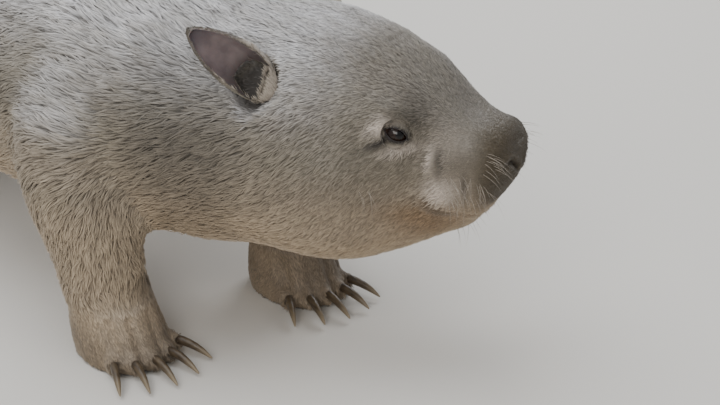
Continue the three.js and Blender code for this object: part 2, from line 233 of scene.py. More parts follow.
def alongBody(points):  # distance forward, offset to the left and heading, blended over the stations
    ahead, aside, heading = [], [], []
    for part in np.array_split(points[:, :2], max(1, len(points) // 20000)):
        away = part[:, None] - stationPlace[None]
        reach = (away ** 2).sum(2)
        weight = np.exp(-(reach - reach.min(1, keepdims=True)) / (2 * bodyGuide["blend"] ** 2))
        weight /= weight.sum(1, keepdims=True)
        gone = (away * stationHeading[None]).sum(2)
        lefts = np.stack([-stationHeading[:, 1], stationHeading[:, 0]], 1)
        ahead.append((weight * (stationAt + gone)).sum(1))
        aside.append((weight * (away * lefts[None]).sum(2)).sum(1))
        heading.append(unit(weight @ stationHeading))
    return np.concatenate(ahead), np.concatenate(aside), np.concatenate(heading)


def inHead(points):  # forward, left and up in the head's own straight axes
    flat = points[:, :2] - headStart
    return np.stack([flat @ headAhead[:2], flat @ headLeft[:2], points[:, 2]], 1)


def fromHead(ahead, aside, height):
    place = headStart + headAhead[:2] * ahead + headLeft[:2] * aside
    return np.array([place[0], place[1], height])


def middleOf(name):
    low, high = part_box(name)
    return np.array((low + high) / 2)


legNames = [(kind, side) for kind in ("fore", "hind") for side in sides]
legPlan = {  # ankle behind the foot's front edge, how far the leg reaches out, and where it starts
    "fore": {"ankle": 0.040, "reach": 0.085, "top": 0.215},
    "hind": {"ankle": 0.045, "reach": 0.105, "top": 0.235},
}
toeHeight = 0.01


def legLine(kind, side):  # from the top of the leg to the toes
    low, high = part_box(f"{kind}leg_{side}")
    footLow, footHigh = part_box(f"{kind}foot_{side}")
    leg, foot = middleOf(f"{kind}leg_{side}"), middleOf(f"{kind}foot_{side}")
    ankleY = footHigh.y - legPlan[kind]["ankle"]
    return np.array([
        [leg[0], leg[1], high.z],
        [leg[0], leg[1], (low.z + high.z) / 2],
        [foot[0], ankleY, low.z],
        [foot[0], footLow.y, toeHeight],
    ])


legLines = {(kind, side): legLine(kind, side) for kind, side in legNames}


def nearLine(points, line):  # distance to a bent line, the share along it, and its direction there
    best = np.full(len(points), np.inf)
    share = np.zeros(len(points))
    direction = np.zeros_like(points)
    for k in range(len(line) - 1):
        start, step = line[k], line[k + 1] - line[k]
        t = np.clip((points - start) @ step / (step @ step), 0, 1)
        far = np.linalg.norm(points - start - t[:, None] * step, axis=1)
        closer = far < best
        best[closer] = far[closer]
        share[closer] = ((k + t) / (len(line) - 1))[closer]
        direction[closer] = step / np.linalg.norm(step)
    return best, share, direction


# Eyes: each sits where its node does, and looks out of the side of the head

eyeShape = {
    "openHalfWide": 8.8 * mm,
    "openUp": 4.7 * mm,
    "openDown": 3.9 * mm,
    "slantDeg": 16,
    "lidOver": 1.5 * mm,  # how far the lid stands off the ball
    "lidRound": 1.1 * mm,
    "socketUnder": 1.6 * mm,
    "blendFrom": 2.2 * mm,
    "blendTo": 9.0 * mm,
    "creaseAt": 4.6 * mm,
    "creaseDepth": 0.9 * mm,
}


def eyeFrameOf(side):
    low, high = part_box(f"eye_{side}")
    centre = np.array((low + high) / 2)
    radius = (high.x - low.x + high.y - low.y + high.z - low.z) / 6
    sign = sides[side]
    out = unit(0.87 * sign * headLeft + 0.36 * headAhead + 0.30 * upward)
    ahead = unit(headAhead - out * (headAhead @ out))
    above = np.cross(out, ahead) * sign
    slant = math.radians(eyeShape["slantDeg"])
    along = ahead * math.cos(slant) + above * math.sin(slant)
    across = above * math.cos(slant) - ahead * math.sin(slant)
    return {"centre": centre, "radius": radius, "out": out, "along": along, "across": across}


eyeFrames = {side: eyeFrameOf(side) for side in sides}


def aroundEye(points, eye):  # the eye's own axes, and the distance outside the lids' edge
    local = points - eye["centre"]
    x, y, z = local @ eye["along"], local @ eye["across"], local @ eye["out"]
    half = eyeShape["openHalfWide"]
    inside = np.clip(1 - (x / half) ** 2, 0, 1)
    high = np.where(y > 0, eyeShape["openUp"], eyeShape["openDown"]) * inside ** 0.75
    off = np.abs(y) - high
    slope = np.sqrt(1 + (2 * high * x / np.maximum(half ** 2 * inside, half ** 2 * 0.15)) ** 2)
    off = np.where(np.abs(x) < half, off / slope, np.hypot(np.abs(x) - half, y))
    return x, y, z, off


# Skin: one surface over all the flesh, sunk below the outline by the coat's depth

skinShape = {
    "voxel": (3.4 * mm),
    "bodyRounds": 26,
    "faceRounds": 5,
    "depthBody": 8.5 * mm,
    "depthHead": 4.0 * mm,
    "depthMuzzle": 1.4 * mm,
    "depthLeg": 5.5 * mm,
    "depthFoot": 2.2 * mm,
    "depthEye": 1.0 * mm,
    "eyeFrom": 30 * mm,
    "eyeTo": 15 * mm,
    "gentleFrom": 0.76,  # the face is smoothed less than the body
    "gentleTo": 0.80,
    "faceFrom": 0.790,  # the face ahead of this gets smaller facets
    "finestFrom": 0.890,
    "finestRound": 19 * mm,
}

fleshNames = ["torso", "neck", "head", "nose", "tail"]
fleshNames += [f"{kind}{piece}_{side}" for piece in ("leg", "foot") for kind, side in legNames]


bodyShares = {  # where each region fades in, forward along the spine
    "face": (0.800, 0.850),
    "head": (0.665, 0.735),
    "muzzle": (0.836, 0.872),
    "rump": (0.12, 0.0),
}
legFades = {"reachTo": 0.055, "topTo": 0.120, "sideFrom": 0.045, "sideTo": 0.075}
footFades = {"from": 0.075, "to": 0.045, "reach": 0.11, "aside": 0.03}
lieSlopes = {"flankDown": 0.42, "rumpBack": 0.35, "cheekDown": 0.12, "legBack": 0.25}


class Guide:  # what the skin's points know of their place on the body
    def __init__(self, points, normals):
        self.ahead, self.aside, heading = alongBody(points)
        self.height = points[:, 2]
        self.faceShare = ramp(self.ahead, *bodyShares["face"])
        self.headShare = ramp(self.ahead, *bodyShares["head"])
        self.muzzleShare = ramp(self.ahead, *bodyShares["muzzle"])
        self.legShare = np.zeros(len(points))
        self.footShare = np.zeros(len(points))
        legWay = np.zeros_like(points)
        for (kind, side), line in legLines.items():
            far, _, way = nearLine(points, line)
            outward = points[:, 0] * sides[side]
            found = ramp(far, legPlan[kind]["reach"], legFades["reachTo"])
            found = found * ramp(self.height, legPlan[kind]["top"], legFades["topTo"])
            found = found * ramp(outward, legFades["sideFrom"], legFades["sideTo"])
            better = found > self.legShare
            self.legShare = np.maximum(self.legShare, found)
            legWay[better] = way[better]
            low = ramp(self.height, footFades["from"], footFades["to"])
            low = low * (far < footFades["reach"]) * (outward > footFades["aside"])
            self.footShare = np.maximum(self.footShare, low)
        self.topShare = ramp(normals[:, 2], 0.1, 0.8)
        self.underShare = ramp(normals[:, 2], -0.15, -0.75)
        back = np.zeros_like(points)
        back[:, :2] = -heading
        flank = (1 - self.topShare) * (1 - self.underShare)
        lie = back + flank[:, None] * lieSlopes["flankDown"] * -upward
        rump = ramp(self.ahead, *bodyShares["rump"])[:, None]
        lie = lie * (1 - rump) + (back * lieSlopes["rumpBack"] - upward) * rump
        cheek = (self.headShare * (1 - self.muzzleShare))[:, None]
        lie = lie - cheek * lieSlopes["cheekDown"] * upward
        legs = self.legShare[:, None]
        self.lie = lie * (1 - legs) + (legWay + back * lieSlopes["legBack"]) * legs


def finest(points):  # round the eyes and on the front of the nose
    chosen = inHead(points)[:, 0] > skinShape["finestFrom"]
    for eye in eyeFrames.values():
        chosen |= np.linalg.norm(points - eye["centre"], axis=1) < skinShape["finestRound"]
    return chosen


def makeSkin():
    voxel = skinShape["voxel"]
    surface = Surface(voxelRemeshed(fleshNames + ["eye_left", "eye_right"], voxel))
    print("skin: remeshed to", len(surface.points), "points")
    guide = Guide(surface.points, surface.normals())
    gentle = ramp(guide.ahead, skinShape["gentleFrom"], skinShape["gentleTo"]) + guide.footShare
    loose = np.clip(1 - gentle, 0, 1)
    surface.smooth(skinShape["bodyRounds"], loose)
    surface.smooth(skinShape["faceRounds"], np.clip(gentle, 0, 1), back=0.5)
    normals = surface.normals()
    depth = skinShape["depthBody"] * (1 - guide.headShare) + skinShape["depthHead"] * guide.headShare
    depth += (skinShape["depthLeg"] - depth) * guide.legShare
    depth += (skinShape["depthMuzzle"] - depth) * guide.faceShare
    depth += (skinShape["depthFoot"] - depth) * guide.footShare
    for eye in eyeFrames.values():
        far = np.linalg.norm(surface.points - eye["centre"], axis=1)
        depth += (skinShape["depthEye"] - depth) * ramp(far, skinShape["eyeFrom"], skinShape["eyeTo"])
    depth *= ramp(surface.points[:, 2], 0.5 * mm, 5 * mm)
    surface.points -= normals * depth[:, None]
    surface.smooth(4, loose)
    for level in range(2):
        surface.subdivide(alongBody(surface.points)[0] > skinShape["faceFrom"] + level * 3 * mm)
        surface.smooth(2, ramp(alongBody(surface.points)[0], 0.775, 0.795), back=0.45)
    surface.subdivide(finest(surface.points))
    surface.smooth(1, finest(surface.points), back=0.4)
    print("skin: refined to", len(surface.points), "points")
    return surface


# Sculpting of the face and the folds, in the head's axes (forward, aside, height)

mouthShape = {
    "line": [(0.836, 0.056, 0.193), (0.846, 0.052, 0.184), (0.856, 0.047, 0.179), (0.866, 0.041, 0.175),
             (0.874, 0.031, 0.171), (0.879, 0.017, 0.1685), (0.881, 0.000, 0.168)],
    "width": 1.2 * mm,
    "depth": 2.4 * mm,
    "lipOff": 3.6 * mm,
    "lipRise": 1.2 * mm,
    "lipWide": 2.2 * mm,
}
nostrilShape = {
    "line": [(0.904, 0.0085, 0.209), (0.904, 0.0135, 0.2135),
             (0.901, 0.0205, 0.218), (0.897, 0.027, 0.2165)],
    "width": 2.2 * mm,
    "depth": 6.0 * mm,
    "wingOff": 4.6 * mm,
    "wingRise": 1.4 * mm,
    "wingWide": 2.4 * mm,
    "slitDepth": 0.28,  # shares of the depth and width that the outer slit keeps
    "slitWidth": 0.55,
}
creases = [  # line, width, depth
    ([(0.903, 0.0, 0.204), (0.897, 0.0, 0.190), (0.883, 0.0, 0.170)], 1.0 * mm, 1.5 * mm),
    ([(0.871, 0.045, 0.214), (0.870, 0.046, 0.202), (0.869, 0.044, 0.190), (0.867, 0.041, 0.180)],
     1.2 * mm, 1.2 * mm),
    ([(0.846, 0.056, 0.232), (0.842, 0.060, 0.216), (0.840, 0.062, 0.203), (0.842, 0.058, 0.190)],
     2.2 * mm, 2.0 * mm),
    ([(0.800, 0.074, 0.222), (0.812, 0.071, 0.217), (0.826, 0.066, 0.217), (0.836, 0.062, 0.221)],
     1.7 * mm, 1.1 * mm),
    ([(0.798, 0.078, 0.228), (0.806, 0.075, 0.232), (0.813, 0.071, 0.2355)], 1.3 * mm, 1.0 * mm),
    ([(0.800, 0.068, 0.264), (0.814, 0.066, 0.262), (0.828, 0.060, 0.257)], 2.0 * mm, 1.2 * mm),
]
folds = {"places": [(0.616, 2.5), (0.640, 3.5), (0.664, 3)], "width": 7 * mm}  # ahead, depth in mm


def curve(rows, steps=12):  # a smooth line through the rows, as points
    rows = np.array(rows, float)
    padded = np.vstack([2 * rows[0] - rows[1], rows, 2 * rows[-1] - rows[-2]])
    found = []
    for k in range(1, len(padded) - 2):
        a, b, c, d = padded[k - 1:k + 3]
        for t in np.linspace(0, 1, steps, endpoint=False):
            found.append(0.5 * (2 * b + (c - a) * t + (2 * a - 5 * b + 4 * c - d) * t * t
                                + (3 * b - a - 3 * c + d) * t ** 3))
    return np.vstack([found, rows[-1:]])


def farFrom(places, line):  # distance to a smooth line on either side of the head, and the share along it
    mirror = places * [1, 0, 1] + np.abs(places[:, 1:2]) * [0, 1, 0]
    path = curve(line)
    near = np.linalg.norm(mirror - path.mean(0), axis=1) < 0.06
    far = np.full(len(places), 1.0)
    share = np.zeros(len(places))
    found, along, _ = nearLine(mirror[near], path)
    far[near], share[near] = found, along
    return far, share


def sculptFace(surface):
    places = inHead(surface.points)
    normals = surface.normals()
    move = np.zeros(len(places))
    far, share = farFrom(places, mouthShape["line"])
    ends = ramp(share, 0, 0.12) * 0.7 + 0.3
    move -= mouthShape["depth"] * ends * bell(far, mouthShape["width"])
    move += mouthShape["lipRise"] * ends * bell(far - mouthShape["lipOff"], mouthShape["lipWide"])
    far, share = farFrom(places, nostrilShape["line"])
    outer = ramp(share, 0.3, 1.0)
    deep = nostrilShape["depth"] * (1 - (1 - nostrilShape["slitDepth"]) * outer)
    wide = nostrilShape["width"] * (1 - (1 - nostrilShape["slitWidth"]) * outer)
    move -= deep * bell(far, wide)
    move += nostrilShape["wingRise"] * bell(far - nostrilShape["wingOff"], nostrilShape["wingWide"])
    surface.nostril = bell(far, wide * 1.15)
    for line, width, depth in creases:
        far, share = farFrom(places, line)
        fade = ramp(share, 0, 0.2) * ramp(share, 1, 0.8)
        if line[0][1] == 0:
            fade = 1
        move += depth * fade * (0.35 * bell(far - 2.4 * width, 1.3 * width) - bell(far, width))
    surface.points += normals * move[:, None]


def sculptFolds(surface, guide):  # where the neck bends, on the inner side of the turn
    normals = surface.normals()
    inner = ramp(guide.aside, 0.02, 0.085)
    inner *= ramp(guide.height, 0.10, 0.16) * ramp(guide.height, 0.325, 0.27)
    move = np.zeros(len(surface.points))
    for ahead, deep in folds["places"]:
        bent = guide.ahead + 0.10 * (guide.height - 0.2) - ahead
        move -= deep * mm * bell(bent, folds["width"])
    surface.points += normals * (move * inner)[:, None]


def sculptLids(surface):
    surface.rim = np.zeros(len(surface.points))
    surface.opening = np.zeros(len(surface.points))
    for eye in eyeFrames.values():
        chosen = np.flatnonzero(np.linalg.norm(surface.points - eye["centre"], axis=1) < 26 * mm)
        x, y, z, off = aroundEye(surface.points[chosen], eye)
        front = z > 0
        chosen, x, y, z, off = (v[front] for v in (chosen, x, y, z, off))
        radius = eye["radius"]
        opened = ramp(off, 0.7 * mm, -0.5 * mm)
        over = eyeShape["lidOver"] - (eyeShape["lidOver"] + eyeShape["socketUnder"]) * opened
        over += 0.5 * mm * bell(off - eyeShape["lidRound"], 0.9 * mm)
        crease = np.where(y > 0, 1.0, 0.7) * bell(off - eyeShape["creaseAt"], 1.0 * mm)
        target = np.sqrt(np.maximum((radius + over) ** 2 - x ** 2 - y ** 2, 0))
        covers = np.sqrt(np.maximum((radius + 0.9 * mm) ** 2 - x ** 2 - y ** 2, 0))
        blend = ramp(off, eyeShape["blendFrom"], eyeShape["blendTo"])
        reach = target > 0
        aim = np.where(reach, target * (1 - blend) + z * blend, z)
        aim = np.where(off > 0.6 * mm, np.maximum(aim, covers), aim)
        aim -= eyeShape["creaseDepth"] * crease
        surface.points[chosen] += (aim - z)[:, None] * eye["out"]
        surface.rim[chosen] = np.maximum(surface.rim[chosen], ramp(off, 2.4 * mm, 0.9 * mm))
        surface.opening[chosen] = np.maximum(surface.opening[chosen], ramp(off, 1.3 * mm, 0.7 * mm))


toeGrooves = {"back": 42 * mm, "width": 3.2 * mm, "depth": 3.0 * mm}


def sculptToes(surface):
    normals = surface.normals()
    move = np.zeros(len(surface.points))
    low = surface.points[:, 2] < 0.05
    for kind, side in legNames:
        count = sum(name.startswith(f"claw_{kind}_{side}_") for name in nodes)
        roots = []
        for number in range(1, count + 1):
            claw = pointsOf(nodes[f"claw_{kind}_{side}_{number}"].data)
            roots.append(claw[np.argsort(-claw[:, 1])[:6]].mean(0))
        for first, second in zip(roots, roots[1:]):
            start = (first + second) / 2
            way = np.array([0, 1, 0]) - 0.25 * (start - middleOf(f"{kind}foot_{side}")) / 0.06
            line = np.array([start - way * 12 * mm, start + way * toeGrooves["back"]])
            far, share, _ = nearLine(surface.points * [1, 1, 0], line * [1, 1, 0])
            fade = ramp(share, 1.0, 0.35)
            move -= low * fade * toeGrooves["depth"] * bell(far, toeGrooves["width"])
    surface.points += normals * move[:, None]


earCup = {"sink": 7 * mm, "shortFrom": 24 * mm, "shortTo": 9 * mm}


def earLine(points):  # the ear's tip, the middle of its root, and the direction between them
    tip = points[np.argmax(np.linalg.norm(points - middleOf("head"), axis=1))]
    low = points[points[:, 2] < points[:, 2].min() + 16 * mm].mean(0)
    return tip, low, unit(tip - low)


def sculptCups(surface):  # under an ear's cup the head's skin is sunk, and its coat is short
    surface.cup = np.zeros(len(surface.points))
    surface.nearEar = np.zeros(len(surface.points))
    for side in sides:
        bm = bmesh.new()
        bm.from_mesh(nodes[f"ear_{side}"].data)
        bmesh.ops.convex_hull(bm, input=bm.verts)
        hull = BVHTree.FromBMesh(bm)
        bm.free()
        _, low, axis = earLine(pointsOf(nodes[f"ear_{side}"].data))
        for index in np.flatnonzero(np.linalg.norm(surface.points - low, axis=1) < 60 * mm):
            place = Vector(surface.points[index])
            under = hull.ray_cast(place - Vector(axis) * 10 * mm, Vector(axis), 50 * mm)[0]
            far = hull.find_nearest(place)[3]
            surface.cup[index] = under is not None
            surface.nearEar[index] = ramp(far, earCup["shortFrom"], earCup["shortTo"])
    surface.cup = surface.spread(surface.cup)
    surface.points -= surface.normals() * (surface.cup * earCup["sink"])[:, None]


skin = makeSkin()
sculptCups(skin)
sculptToes(skin)
guide = Guide(skin.points, skin.normals())
sculptFolds(skin, guide)
sculptFace(skin)
sculptLids(skin)
print("face and folds sculpted")


# Markings, with painted shade and painted sheen: masks on the skin, which the coat takes over at each
# root

markAndLightPlaces = {
    "noseFrom": 0.871,
    "noseTo": 0.891,
    "lipFrom": 0.170,
    "lipTo": 0.184,
    "faceFrom": 0.72,
    "faceTo": 0.76,
    "silverAndSheenFrom": 0.735,
    "silverAndSheenTo": 0.80,
    # the neck band and the cup term below are painted shade
    "neckShadeAt": 0.668,
    "neckShade": 0.42,
    "lidDark": 0.8,
    "cupShade": 0.9,
}
eyePatches = {  # strength, centre forward of and above the eye, half length and height, turn in degrees
    "pale": [
        (0.95, (-0.0080, 0.0095), (0.0080, 0.0062), 30),
        (0.70, (0.0070, -0.0100), (0.0120, 0.0038), 6),
        (0.24, (0.0360, -0.0080), (0.0150, 0.0130), 0),
    ],
    "darkAndShade": [
        # this and the next: painted shade of the brow over the eye's hollow, ahead of and above the eye
        (0.40, (0.0165, 0.0110), (0.0085, 0.0180), 10),
        (0.25, (0.0020, 0.0165), (0.0140, 0.0060), -6),
        (1.00, (-0.0085, -0.0040), (0.0100, 0.0030), 20),
    ],
    "stain": [],
}
muzzlePatches = {  # the same, with centres in the head's own axes
    "pale": [
        (0.60, (0.8455, 0.2235), (0.0026, 0.0095), -6),
        (0.85, (0.8560, 0.1960), (0.0120, 0.0120), 0),
    ],
    "darkAndShade": [
        # this and the next: painted shade in and beside the creases at the muzzle's side
        (0.70, (0.8530, 0.2220), (0.0028, 0.0110), 6),
        (0.55, (0.8710, 0.2000), (0.0022, 0.0140), 0),
        (0.50, (0.8520, 0.1785), (0.0140, 0.0026), -24),
    ],
    "stain": [
        (0.75, (0.8380, 0.1760), (0.0260, 0.0120), -6),
        (0.60, (0.8500, 0.1580), (0.0260, 0.0120), 0),
    ],
}


def patches(places, mask):  # soft ovals on both sides of the face, added up
    eyeSpot = inHead(eyeFrames["left"]["centre"][None])[0]
    outer = ramp(np.abs(places[:, 1]), 0.018, 0.035)
    total = np.zeros(len(places))
    for plan, start in ((eyePatches, (eyeSpot[0], eyeSpot[2])), (muzzlePatches, (0, 0))):
        for strength, centre, reach, turnDeg in plan[mask]:
            forward = places[:, 0] - start[0] - centre[0]
            above = places[:, 2] - start[1] - centre[1]
            turn = math.radians(turnDeg)
            a = (forward * math.cos(turn) + above * math.sin(turn)) / reach[0]
            b = (above * math.cos(turn) - forward * math.sin(turn)) / reach[1]
            total += strength * np.exp(-(a ** 2 + b ** 2))
    return total * outer


def marksAndPaintedLight(surface, guide):
    places = inHead(surface.points)
    front = places[:, 0] + 0.10 * (places[:, 2] - 0.2)
    nose = ramp(front, markAndLightPlaces["noseFrom"], markAndLightPlaces["noseTo"])
    nose *= ramp(places[:, 2], markAndLightPlaces["lipFrom"], markAndLightPlaces["lipTo"])
    nose *= 1 - 0.25 * ramp(places[:, 2], 0.234, 0.246)
    darkAndShade = patches(places, "darkAndShade")
    for eye in eyeFrames.values():
        _, _, out, off = aroundEye(surface.points, eye)
        darkAndShade += markAndLightPlaces["lidDark"] * (out > 0) * ramp(off, 3.6 * mm, 1.0 * mm)
    warm = guide.underShare * 0.8 + 0.80 * ramp(guide.height, 0.235, 0.155) * (1 - guide.legShare)
    brown = np.maximum(guide.legShare * 0.65, guide.footShare * 0.9)
    feet = 0.35 * guide.footShare * ramp(guide.height, 0.06, 0.02)
    # silver: partly the coat's pale tips, mostly a painted sheen where the fur faces up, fading out over
    # the face
    grey = ramp(guide.ahead, markAndLightPlaces["silverAndSheenFrom"], markAndLightPlaces["silverAndSheenTo"])
    silverAndSheen = guide.topShare * (1 - 0.85 * grey)
    # painted shade: a dark band down each side of the neck, behind the ears
    neck = ramp(np.abs(guide.ahead - markAndLightPlaces["neckShadeAt"]), 0.055, 0.010) * markAndLightPlaces["neckShade"]
    neck *= ramp(np.abs(guide.aside), 0.04, 0.09)
    face = ramp(guide.ahead, markAndLightPlaces["faceFrom"], markAndLightPlaces["faceTo"])
    # the cup term paints shade on the head's skin inside each ear's cup
    darkAndShade = darkAndShade * face + feet + neck + markAndLightPlaces["cupShade"] * surface.cup
    first = np.stack([nose, patches(places, "pale") * face, darkAndShade], 1)
    second = np.stack([patches(places, "stain") * face, np.maximum(warm * 0.7, brown), silverAndSheen], 1)
    return np.clip(first, 0, 1), np.clip(second, 0, 1)


marksAndShadeA, marksAndSheenB = marksAndPaintedLight(skin, guide)


# An unwrap of the body's own shape: the trunk unrolled along the spine, each leg unrolled beside it

unwrapPlan = {
    "trunkFrom": 0.05,
    "trunkScale": 0.874,
    "around": 0.70,
    "legStart": 0.76,
    "legWide": 0.228,
    "legHigh": 0.22,
    "margin": 0.004,
}


def unrolled(points, guide):
    angle = np.arctan2(guide.height - bodyGuide["middle"], guide.aside)
    far = np.hypot(guide.height - bodyGuide["middle"], guide.aside)
    nearEnd = ramp(guide.ahead, 0.87, 0.906) - ramp(guide.ahead, 0.05, 0.0)
    ahead = guide.ahead + nearEnd * (0.05 - far)
    u = unwrapPlan["trunkFrom"] + (ahead / bodyGuide["length"]) * unwrapPlan["trunkScale"]
    v = (angle / (2 * math.pi) % 1) * unwrapPlan["around"] + 0.02
    for number, ((kind, side), line) in enumerate(legLines.items()):
        onLeg = (guide.legShare > 0.5) | (guide.footShare > 0.5)
        onLeg &= (points[:, 0] * sides[side] > 0)
        onLeg &= (points[:, 1] < 0.05) if kind == "fore" else (points[:, 1] > 0.05)
        middle = line[2]
        turn = np.arctan2(points[:, 1] - middle[1], points[:, 0] - middle[0]) / (2 * math.pi) % 1
        u = np.where(onLeg, number * 0.25 + 0.01 + turn * unwrapPlan["legWide"], u)
        high = np.clip(points[:, 2] / 0.25, 0, 1) * unwrapPlan["legHigh"]
        v = np.where(onLeg, unwrapPlan["legStart"] + high, v)
    margin = unwrapPlan["margin"]
    return np.clip(np.stack([u, v], 1), margin, 1 - margin)


skinUnwrap = unrolled(skin.points, guide)


# Materials

def newGroup(name, inputs, outputs):
    tree = bpy.data.node_groups.new(name, "ShaderNodeTree")
    for label, kind, value in inputs:
        socket = tree.interface.new_socket(name=label, in_out="INPUT", socket_type=kind)
        if value is not None:
            socket.default_value = value
    for label, kind in outputs:
        tree.interface.new_socket(name=label, in_out="OUTPUT", socket_type=kind)
    return tree, tree.nodes.new("NodeGroupInput"), tree.nodes.new("NodeGroupOutput")


def mathNode(tree, operation, first, second=None):
    node = tree.nodes.new("ShaderNodeMath")
    node.operation = operation
    for index, value in enumerate((first, second)):
        if isinstance(value, (int, float)):
            node.inputs[index].default_value = value
        elif value is not None:
            tree.links.new(value, node.inputs[index])
    return node.outputs[0]


def mixNode(tree, share, first, second, blend="MIX"):
    node = tree.nodes.new("ShaderNodeMix")
    node.data_type = "RGBA"
    node.blend_type = blend
    node.clamp_factor = True
    for socket, value in ((node.inputs[0], share), (node.inputs[6], first), (node.inputs[7], second)):
        if isinstance(value, (int, float, tuple)):
            socket.default_value = value
        else:
            tree.links.new(value, socket)
    return node.outputs[2]


def rangeNode(tree, value, low, high, start=0.0, end=1.0):
    node = tree.nodes.new("ShaderNodeMapRange")
    for index, number in enumerate((low, high, start, end), 1):
        node.inputs[index].default_value = number
    tree.links.new(value, node.inputs[0])
    return node.outputs[0]


def shadedNode(tree, colour, shade):  # the colour, lighter or darker
    grey = tree.nodes.new("ShaderNodeCombineColor")
    for socket in grey.inputs[:3]:
        tree.links.new(shade, socket)
    return mixNode(tree, 1.0, colour, grey.outputs[0], "MULTIPLY")


def attributeNode(tree, name, output="Fac"):
    node = tree.nodes.new("ShaderNodeAttribute")
    node.attribute_name = name
    return node.outputs[output]


def noiseNode(tree, scale, detail, vector=None, stretch=None):
    node = tree.nodes.new("ShaderNodeTexNoise")
    node.inputs["Scale"].default_value = scale
    node.inputs["Detail"].default_value = detail
    if vector is None:
        vector = tree.nodes.new("ShaderNodeTexCoord").outputs["Object"]
    if stretch:
        mapping = tree.nodes.new("ShaderNodeMapping")
        mapping.inputs["Scale"].default_value = stretch
        tree.links.new(vector, mapping.inputs["Vector"])
        vector = mapping.outputs[0]
    tree.links.new(vector, node.inputs["Vector"])
    return node.outputs["Fac"]


furColours = {
    "base": linear(124, 116, 102),
    "blotch": linear(110, 101, 92),
    # silver: pale tips and painted sheen
    "silverAndSheen": linear(185, 183, 183),
    "warm": linear(174, 154, 128),
    "nose": linear(80, 70, 54),
    "pale": linear(206, 193, 180),
    "darkAndShade": linear(50, 44, 38),
    # dark marks, and painted shade in the brow's hollow, the muzzle's creases, the ears' cups and down
    # the neck
    "stain": linear(134, 108, 78),
    "bare": linear(38, 31, 29),
}


def buildMarksAndPaintedLightGroup():  # the coat's colour from the masks, with its painted shade and painted sheen, the same on skin and coat
    tree, start, end = newGroup("wombatMarksAndPaintedLight", [("Blotches", "NodeSocketFloat", 0.6)],
                                [("Color", "NodeSocketColor")])
    first, second = (tree.nodes.new("ShaderNodeSeparateColor") for _ in range(2))
    tree.links.new(attributeNode(tree, "marksAndShadeA", "Color"), first.inputs[0])
    tree.links.new(attributeNode(tree, "marksAndSheenB", "Color"), second.inputs[0])
    blotch = rangeNode(tree, noiseNode(tree, 34, 4, None, (1, 0.34, 1)), 0.40, 0.68)
    blotch = mathNode(tree, "MULTIPLY", blotch, start.outputs["Blotches"])
    colour = mixNode(tree, blotch, furColours["base"], furColours["blotch"])
    # painted sheen: silver streaks where the fur faces up
    streaks = rangeNode(tree, noiseNode(tree, 90, 3, None, (1, 0.3, 1)), 0.2, 0.7, 0.35)
    silverAndSheen = mathNode(tree, "MULTIPLY", second.outputs[2], streaks)
    colour = mixNode(tree, silverAndSheen, colour, furColours["silverAndSheen"])
    colour = mixNode(tree, second.outputs[1], colour, furColours["warm"])
    colour = mixNode(tree, second.outputs[0], colour, furColours["stain"])
    colour = mixNode(tree, first.outputs[1], colour, furColours["pale"])
    # the dark mask lays dark marks and painted shade
    colour = mixNode(tree, first.outputs[2], colour, furColours["darkAndShade"])
    colour = mixNode(tree, first.outputs[0], colour, furColours["nose"])
    tree.links.new(colour, end.inputs["Color"])
    return tree


def buildFineGroup():  # fine streaks that follow the lie of the coat, as a height
    tree, start, end = newGroup("coatStreaks", [("Scale", "NodeSocketFloat", 1.0)],
                                [("Height", "NodeSocketFloat")])
    lie = tree.nodes.new("ShaderNodeVectorMath")
    lie.operation = "SCALE"
    tree.links.new(attributeNode(tree, "lie", "Vector"), lie.inputs[0])
    tree.links.new(start.outputs["Scale"], lie.inputs["Scale"])
    fine = noiseNode(tree, 1, 4, lie.outputs[0], (90, 1100, 1))
    broad = noiseNode(tree, 1, 2, lie.outputs[0], (28, 260, 1))
    fine = mathNode(tree, "MULTIPLY", fine, 0.6)
    total = mathNode(tree, "ADD", fine, mathNode(tree, "MULTIPLY", broad, 0.4))
    tree.links.new(total, end.inputs["Height"])
    return tree


def newMaterial(name, **values):
    material = bpy.data.materials.new(name)
    material.use_nodes = True
    tree = material.node_tree
    shader = tree.nodes["Principled BSDF"]
    for label, value in values.items():
        shader.inputs[label].default_value = value
    return material, tree, shader


def useGroup(tree, group, **values):
    node = tree.nodes.new("ShaderNodeGroup")
    node.node_tree = group
    for label, value in values.items():
        node.inputs[label].default_value = value
    return node


def addBump(tree, shader, height, distance, strength=1.0):
    bump = tree.nodes.new("ShaderNodeBump")
    bump.inputs["Distance"].default_value = distance
    bump.inputs["Strength"].default_value = strength
    tree.links.new(height, bump.inputs["Height"])
    tree.links.new(bump.outputs[0], shader.inputs["Normal"])


marksAndPaintedLightGroup = buildMarksAndPaintedLightGroup()
streakGroup = buildFineGroup()


def furMaterial():
    material, tree, shader = newMaterial("furTufts", **{
        "Roughness": 0.52, "Specular IOR Level": 0.42, "Sheen Weight": 0.18, "Sheen Roughness": 0.45})
    marks = useGroup(tree, marksAndPaintedLightGroup, Blotches=0.38)
    tip = attributeNode(tree, "tip")
    tone = attributeNode(tree, "tone")
    rootShade = rangeNode(tree, tip, 0.0, 0.55, 0.56, 1.0)
    tipLight = rangeNode(tree, tip, 0.45, 1.0, 1.0, 1.28)
    shade = mathNode(tree, "MULTIPLY", rootShade, tipLight)
    shade = mathNode(tree, "MULTIPLY", shade, rangeNode(tree, tone, 0.0, 1.0, 0.66, 1.30))
    tree.links.new(shadedNode(tree, marks.outputs[0], shade), shader.inputs["Base Color"])
    return material


